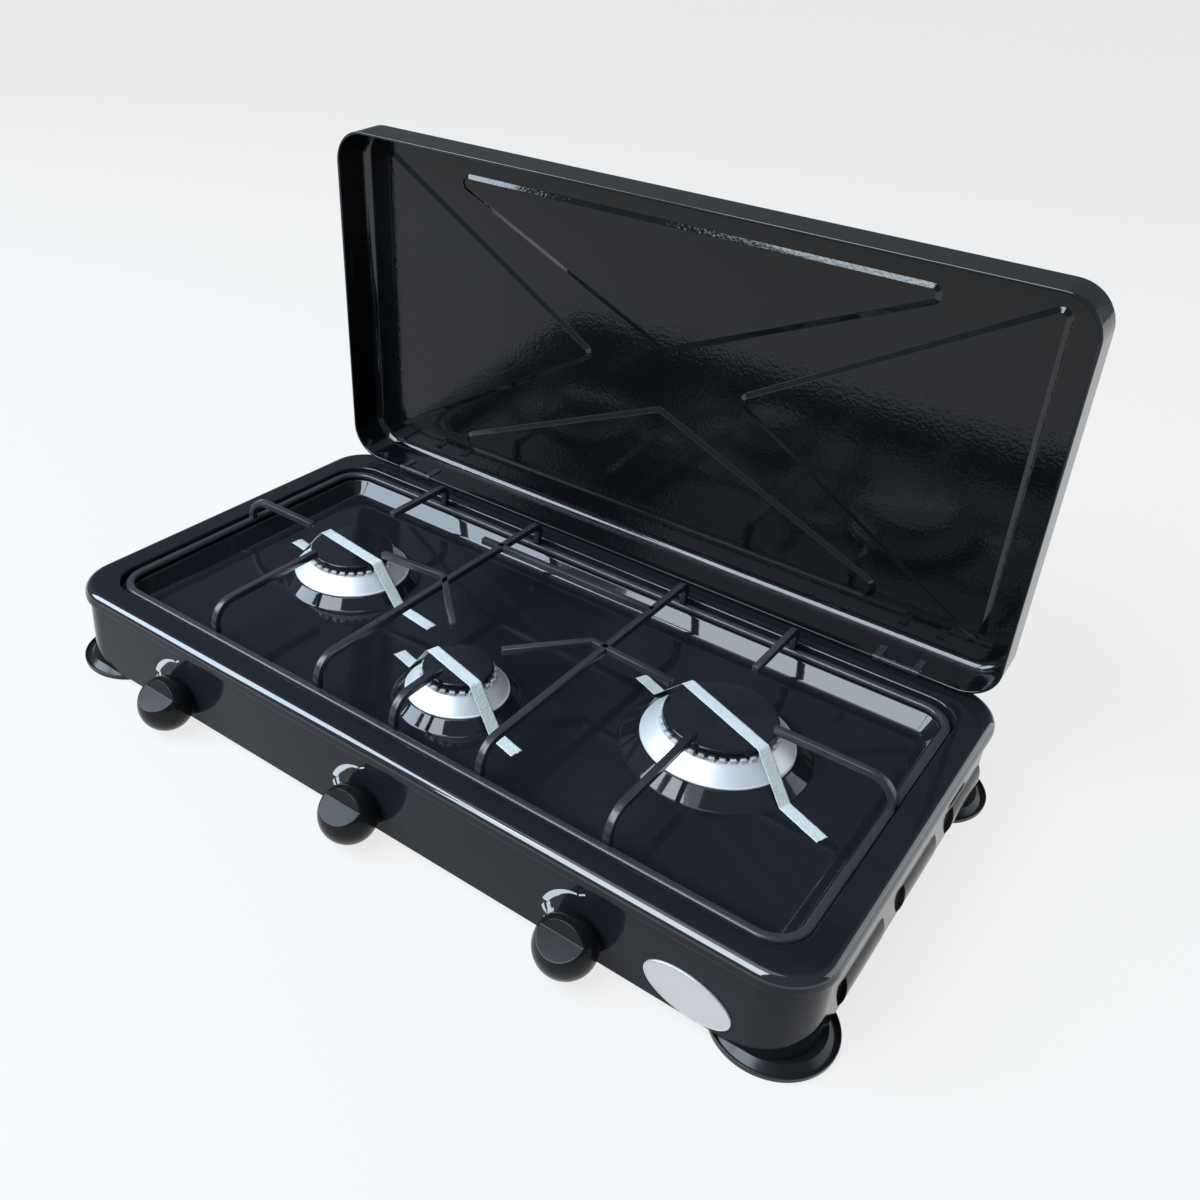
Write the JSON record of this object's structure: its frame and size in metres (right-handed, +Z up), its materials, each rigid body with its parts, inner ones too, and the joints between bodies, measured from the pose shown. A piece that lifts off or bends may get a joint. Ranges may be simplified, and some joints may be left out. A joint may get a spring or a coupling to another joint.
{
  "type": "tabletop gas cooker",
  "caption": "Low tabletop gas cooker in black enamel: sunk well with ported burners under a bar pan support, push-and-turn knobs, hinged lid standing open.",
  "frame": {"origin": "bottom centre of the whole object at rest, lid open, at table level", "axes": "+X along the length to the viewer's right, +Y to the back where the lid stands, +Z up"},
  "size_m": [0.679, 0.4038, 0.3981],
  "materials": {
    "casing_enamel": "gloss black enamel",
    "lid_enamel": "gloss black enamel with slight orange peel",
    "hinge_enamel": "black enamel, worn bright at the edges",
    "plated_steel": "zinc plated",
    "rubber": "matt black",
    "grid_enamel": "satin black enamel",
    "cast_aluminium": "as cast",
    "turned_aluminium": "fine turned",
    "cap_enamel": "satin black enamel",
    "transit_tape": "crinkled matt tape",
    "brass": "machined",
    "knob_plastic": "satin black plastic",
    "badge_metal": "brushed, blank"
  },
  "bodies": {
    "base": {"casing": "casing_enamel", "corner_gussets": "plated_steel", "foot_fl": "rubber", "foot_fr": "rubber", "foot_bl": "rubber", "foot_br": "rubber", "foot_screws": "plated_steel", "hinge_knuckles": "hinge_enamel", "lid_stops": "rubber", "burner_cup_l": "cast_aluminium", "burner_cup_c": "cast_aluminium", "burner_cup_r": "cast_aluminium", "burner_screws": "plated_steel", "burner_head_l": "turned_aluminium", "burner_head_c": "turned_aluminium", "burner_head_r": "turned_aluminium", "injectors": "brass", "gas_rail": "plated_steel", "inlet_nozzle": "brass", "rail_plug": "brass", "rail_brackets": "plated_steel", "tap_bodies": "brass", "tap_bonnets": "plated_steel", "bonnet_screws": "plated_steel", "tap_clamps": "plated_steel", "clamp_nuts": "plated_steel", "badge": "badge_metal", "badge_pins": "badge_metal"},
    "lid": {"lid_panel": "lid_enamel", "lid_lugs": "hinge_enamel", "hinge_pins": "hinge_enamel"},
    "pan_support": {"grid_ring": "grid_enamel", "grid_bars": "grid_enamel", "grid_fingers": "grid_enamel", "grid_buffers": "rubber"},
    "cap_left": {"burner_cap_l": "cap_enamel", "tape_l": "transit_tape"},
    "push_left": {"tap_washer_l": "plated_steel", "tap_spring_l": "plated_steel"},
    "knob_left_set": {"knob_left": "knob_plastic", "tap_spindle_l": "plated_steel"},
    "plug_left": {"tap_plug_l": "brass"},
    "cap_centre": {"burner_cap_c": "cap_enamel", "tape_c": "transit_tape"},
    "push_centre": {"tap_washer_c": "plated_steel", "tap_spring_c": "plated_steel"},
    "knob_centre_set": {"knob_centre": "knob_plastic", "tap_spindle_c": "plated_steel"},
    "plug_centre": {"tap_plug_c": "brass"},
    "cap_right": {"burner_cap_r": "cap_enamel", "tape_r": "transit_tape"},
    "push_right": {"tap_washer_r": "plated_steel", "tap_spring_r": "plated_steel"},
    "knob_right_set": {"knob_right": "knob_plastic", "tap_spindle_r": "plated_steel"},
    "plug_right": {"tap_plug_r": "brass"}
  },
  "joints": [
    {"name": "lid_hinge", "type": "hinge", "parent": "base", "child": "lid", "pos_m": [0, 0.16678, 0.08], "axis": [1, 0, 0], "range_deg": [0, 86]},
    {"name": "pan_support_lift", "type": "slide", "parent": "base", "child": "pan_support", "axis": [0, 0, 1], "range_m": [0, 0.016]},
    {"name": "cap_lift_left", "type": "slide", "parent": "base", "child": "cap_left", "axis": [0, 0, 1], "range_m": [0, 0.004]},
    {"name": "knob_push_left", "type": "slide", "parent": "base", "child": "push_left", "axis": [0, 1, 0], "range_m": [0, 0.0025], "stiffness_N_per_m": 600, "springref_m": -0.003},
    {"name": "knob_turn_left", "type": "hinge", "parent": "push_left", "child": "knob_left_set", "pos_m": [-0.1975, -0.16622, 0.0245], "axis": [0, -1, 0], "range_deg": [0, 90]},
    {"name": "plug_turn_left", "type": "hinge", "parent": "base", "child": "plug_left", "pos_m": [-0.1975, -0.16622, 0.0245], "axis": [0, -1, 0], "range_deg": [0, 90]},
    {"name": "cap_lift_centre", "type": "slide", "parent": "base", "child": "cap_centre", "axis": [0, 0, 1], "range_m": [0, 0.004]},
    {"name": "knob_push_centre", "type": "slide", "parent": "base", "child": "push_centre", "axis": [0, 1, 0], "range_m": [0, 0.0025], "stiffness_N_per_m": 600, "springref_m": -0.003},
    {"name": "knob_turn_centre", "type": "hinge", "parent": "push_centre", "child": "knob_centre_set", "pos_m": [-0.006, -0.16622, 0.0245], "axis": [0, -1, 0], "range_deg": [0, 90]},
    {"name": "plug_turn_centre", "type": "hinge", "parent": "base", "child": "plug_centre", "pos_m": [-0.006, -0.16622, 0.0245], "axis": [0, -1, 0], "range_deg": [0, 90]},
    {"name": "cap_lift_right", "type": "slide", "parent": "base", "child": "cap_right", "axis": [0, 0, 1], "range_m": [0, 0.004]},
    {"name": "knob_push_right", "type": "slide", "parent": "base", "child": "push_right", "axis": [0, 1, 0], "range_m": [0, 0.0025], "stiffness_N_per_m": 600, "springref_m": -0.003},
    {"name": "knob_turn_right", "type": "hinge", "parent": "push_right", "child": "knob_right_set", "pos_m": [0.177, -0.16622, 0.0245], "axis": [0, -1, 0], "range_deg": [0, 90]},
    {"name": "plug_turn_right", "type": "hinge", "parent": "base", "child": "plug_right", "pos_m": [0.177, -0.16622, 0.0245], "axis": [0, -1, 0], "range_deg": [0, 90]}
  ],
  "couplings": [
    {"joint": "plug_turn_left", "follows": "knob_turn_left", "ratio": 1},
    {"joint": "plug_turn_centre", "follows": "knob_turn_centre", "ratio": 1},
    {"joint": "plug_turn_right", "follows": "knob_turn_right", "ratio": 1}
  ]
}
